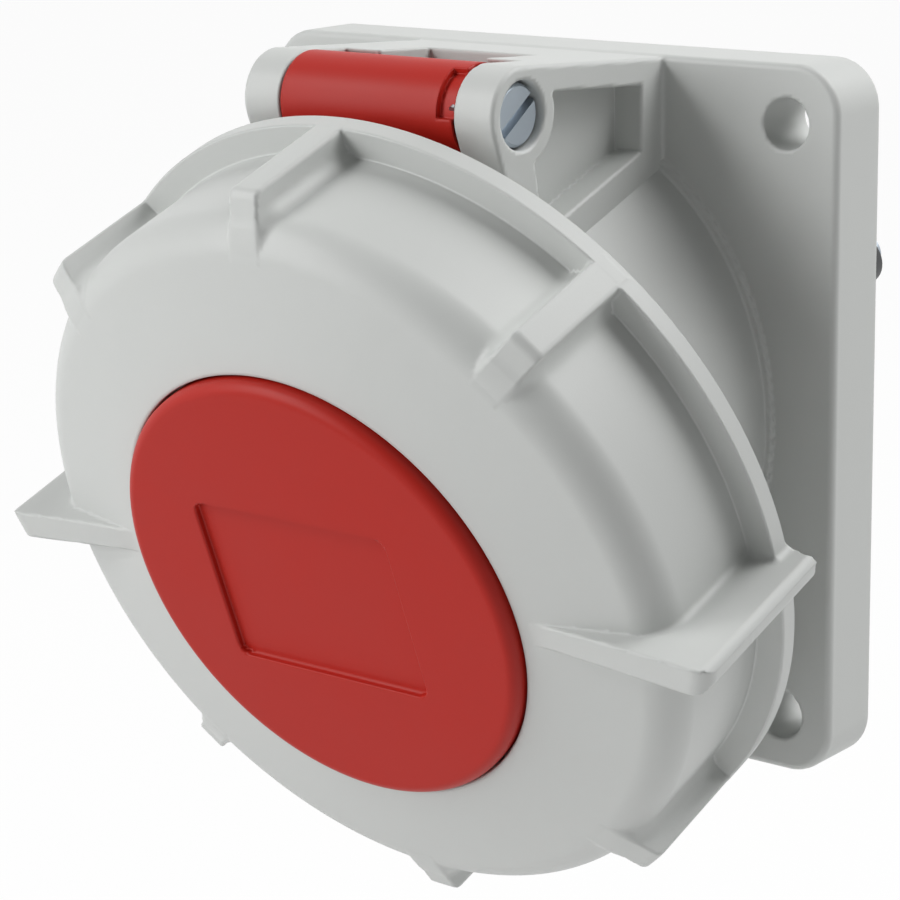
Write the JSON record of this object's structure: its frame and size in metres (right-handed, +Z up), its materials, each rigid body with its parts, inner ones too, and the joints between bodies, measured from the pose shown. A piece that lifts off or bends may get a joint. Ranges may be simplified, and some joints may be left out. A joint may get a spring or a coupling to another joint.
{
  "type": "industrial panel socket",
  "caption": "Inclined round power socket on a square panel flange, closed by a sprung hinged lid with a ribbed bayonet locking ring and grip wings.",
  "frame": {"origin": "centre of the square flange, in the plane of the panel's face that the flange seats on", "axes": "+X to the right seen from in front, +Z up along the panel, +Y into the panel; the socket's own axis points forward and 20 degrees down"},
  "size_m": [0.1144, 0.1069, 0.1118],
  "materials": {
    "grey_plastic": "fine moulded texture",
    "red_plastic": "satin moulded texture",
    "dark_plastic": "moulded",
    "seal_rubber": "smooth",
    "contact_brass": "turned",
    "zinc_steel": "zinc plated",
    "spring_steel": "drawn wire"
  },
  "bodies": {
    "base": {"housing": "grey_plastic", "collar": "grey_plastic", "bayonet_cams": "grey_plastic", "flange_gasket": "seal_rubber", "contact_carrier": "dark_plastic", "terminal_block": "dark_plastic", "phase_contacts": "contact_brass", "earth_contact": "contact_brass", "contact_rings": "spring_steel", "terminal_screws": "zinc_steel", "insert_screws": "zinc_steel", "insert_seal": "seal_rubber", "hinge_screw": "zinc_steel", "hinge_spring": "spring_steel"},
    "cover": {"lid": "red_plastic", "lid_disc": "red_plastic", "disc_screws": "zinc_steel", "lid_gasket": "seal_rubber"},
    "ring": {"lock_ring": "grey_plastic"}
  },
  "joints": [
    {"name": "lid_hinge", "type": "hinge", "parent": "base", "child": "cover", "pos_m": [0, -0.03918, 0.04166], "axis": [-1, 0, 0], "range_deg": [0, 125], "stiffness_Nm_per_rad": 0.03, "springref_deg": -80.21, "deforming": ["hinge_spring"]},
    {"name": "ring_turn", "type": "hinge", "parent": "cover", "child": "ring", "pos_m": [0, -0.01, -0.0005], "axis": [0, 0.9397, 0.342], "range_deg": [0, 40]}
  ]
}
